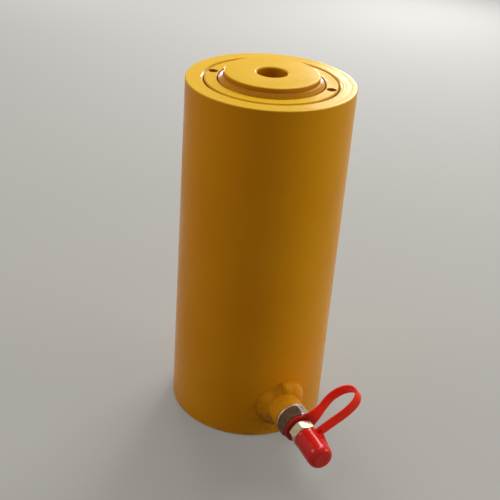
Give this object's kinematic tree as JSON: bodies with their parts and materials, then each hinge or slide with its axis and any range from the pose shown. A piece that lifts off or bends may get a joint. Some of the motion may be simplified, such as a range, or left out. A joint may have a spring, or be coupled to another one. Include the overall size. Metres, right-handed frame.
{
  "type": "spring return hydraulic cylinder",
  "caption": "Single-acting hydraulic cylinder with a spring return plunger, flush gland nut, flat saddle, and a side oil port whose coupler wears a tethered dust cap.",
  "frame": {"origin": "centre of the cylinder's flat foot", "axes": "+Z along the plunger's axis, the way it extends; the oil port points along -Y; +X to the right of the port seen from outside it"},
  "size_m": [0.127, 0.2002, 0.2881],
  "materials": {
    "yellow_paint": "glossy yellow enamel over steel",
    "plated_plunger": "ground and hard plated steel",
    "machined_steel": "oiled, as machined",
    "spring_steel": "dark oil-tempered wire",
    "bronze": "bearing bronze, as turned",
    "seal_polyurethane": "blue polyurethane, satin",
    "seal_rubber": "black nitrile rubber",
    "bearing_plastic": "filled bearing plastic, matt",
    "zinc_plate": "bright zinc plate",
    "passivated_zinc": "zinc plate with a faint yellow passivation",
    "red_vinyl": "soft red vinyl, glossy"
  },
  "bodies": {
    "cylinder": {"cylinder_barrel": "yellow_paint", "gland_nut": "yellow_paint", "rod_wiper": "seal_polyurethane", "gland_guide_ring": "bronze", "lower_spring_anchor": "machined_steel", "return_spring": "spring_steel", "port_boss": "yellow_paint", "weld_bead": "yellow_paint", "port_sealing_washer": "seal_rubber", "coupler_adapter": "zinc_plate", "coupler_seal": "seal_rubber", "coupler_body": "passivated_zinc", "poppet_clip": "spring_steel", "poppet_guide_plate": "machined_steel", "poppet_spring": "spring_steel"},
    "plunger": {"plunger": "plated_plunger", "piston": "machined_steel", "piston_lock_nut": "machined_steel", "piston_static_seal": "seal_rubber", "piston_cup_seal": "seal_polyurethane", "piston_backup_ring": "bearing_plastic", "piston_wear_ring": "bearing_plastic", "upper_spring_anchor": "machined_steel", "saddle": "yellow_paint", "saddle_retaining_ring": "spring_steel"},
    "check_poppet": {"check_poppet": "machined_steel", "poppet_seal": "seal_rubber"},
    "cap_ring": {"dust_cap_ring": "red_vinyl", "dust_cap_strap": "red_vinyl"},
    "dust_cap": {"dust_cap": "red_vinyl"}
  },
  "joints": [
    {"name": "plunger_slide", "type": "slide", "parent": "cylinder", "child": "plunger", "axis": [0, 0, 1], "range_m": [0, 0.159], "stiffness_N_per_m": 11400, "springref_m": -0.0525, "deforming": ["return_spring"]},
    {"name": "poppet_slide", "type": "slide", "parent": "cylinder", "child": "check_poppet", "axis": [0, 1, 0], "range_m": [0, 0.0025], "stiffness_N_per_m": 800, "springref_m": -0.004, "deforming": ["poppet_spring"]},
    {"name": "cap_swivel", "type": "hinge", "parent": "cylinder", "child": "cap_ring", "pos_m": [0, -0.09725, 0.032], "axis": [0, -1, 0], "range_deg": [-60, 170]},
    {"name": "cap_pull", "type": "slide", "parent": "cap_ring", "child": "dust_cap", "axis": [0, -1, 0], "range_m": [0, 0.024], "deforming": ["dust_cap_strap"]}
  ]
}
